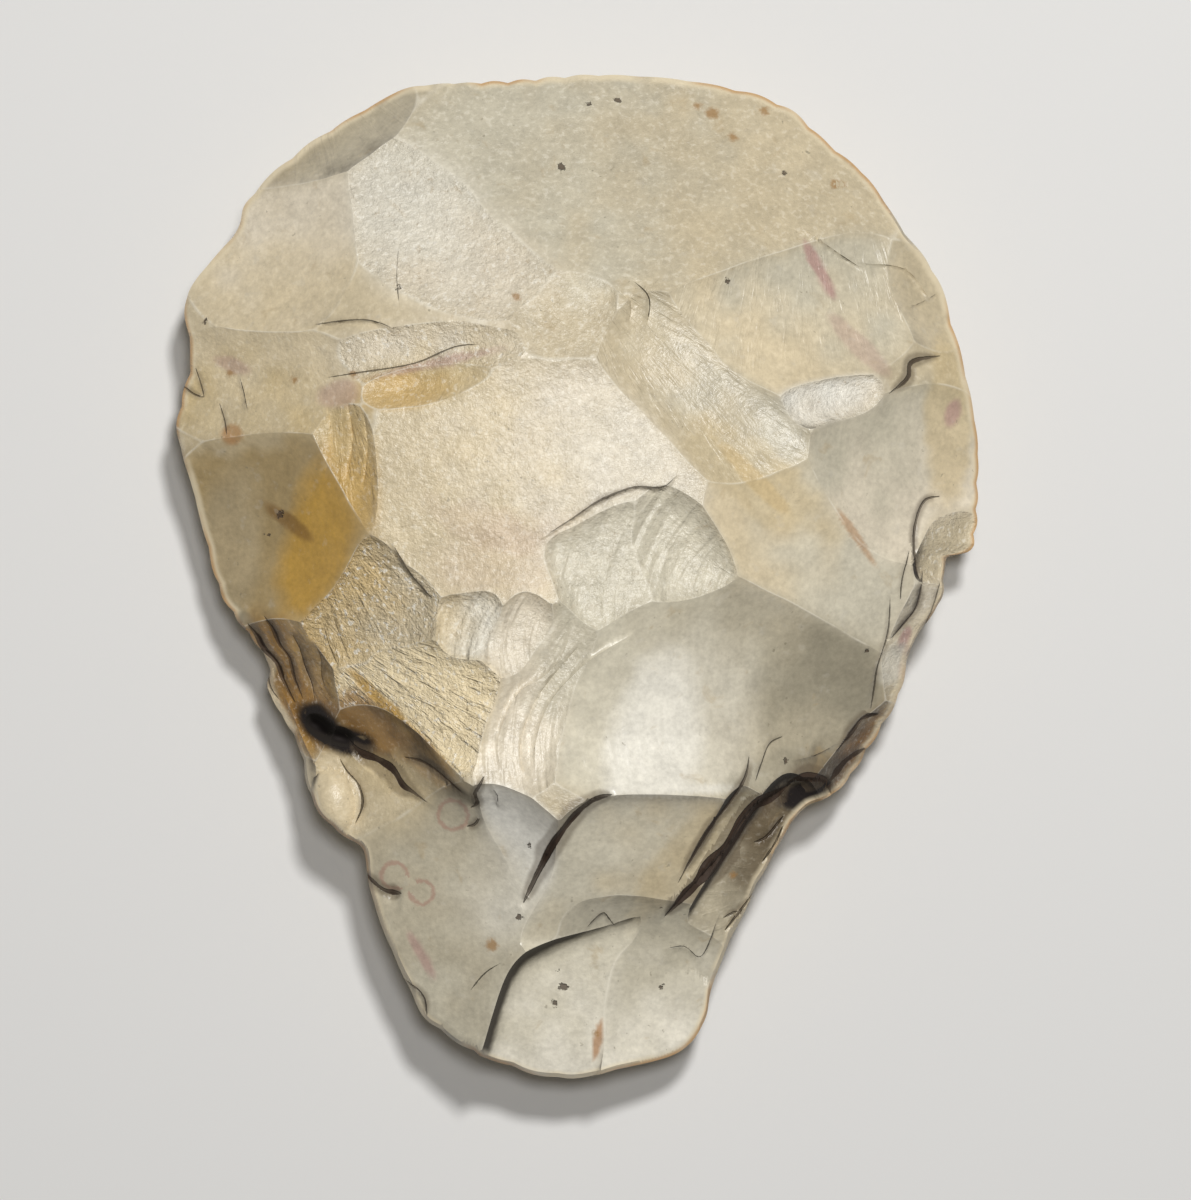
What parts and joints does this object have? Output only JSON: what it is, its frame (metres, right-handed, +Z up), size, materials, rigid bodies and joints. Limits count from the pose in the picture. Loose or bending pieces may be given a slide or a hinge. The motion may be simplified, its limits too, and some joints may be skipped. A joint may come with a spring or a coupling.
{
  "type": "stone hand axe",
  "caption": "Pear-shaped stone hand axe, flaked over both faces, with a broad round sharp blade tapering to a blunt tang.",
  "frame": {"origin": "centre of the bounding box in plan, at the height of the flat facet of the underside that the stone lies on", "axes": "+X to the right of the worked face, +Y from the blunt tang to the round blade, +Z up out of the worked face"},
  "size_m": [0.0958, 0.1198, 0.0328],
  "materials": {
    "pale_chert": "waxy pale grey and cream chert with tan and ochre stains, smooth conchoidal scars and rough patches"
  },
  "bodies": {
    "root": {"flaked_stone": "pale_chert"}
  },
  "joints": []
}
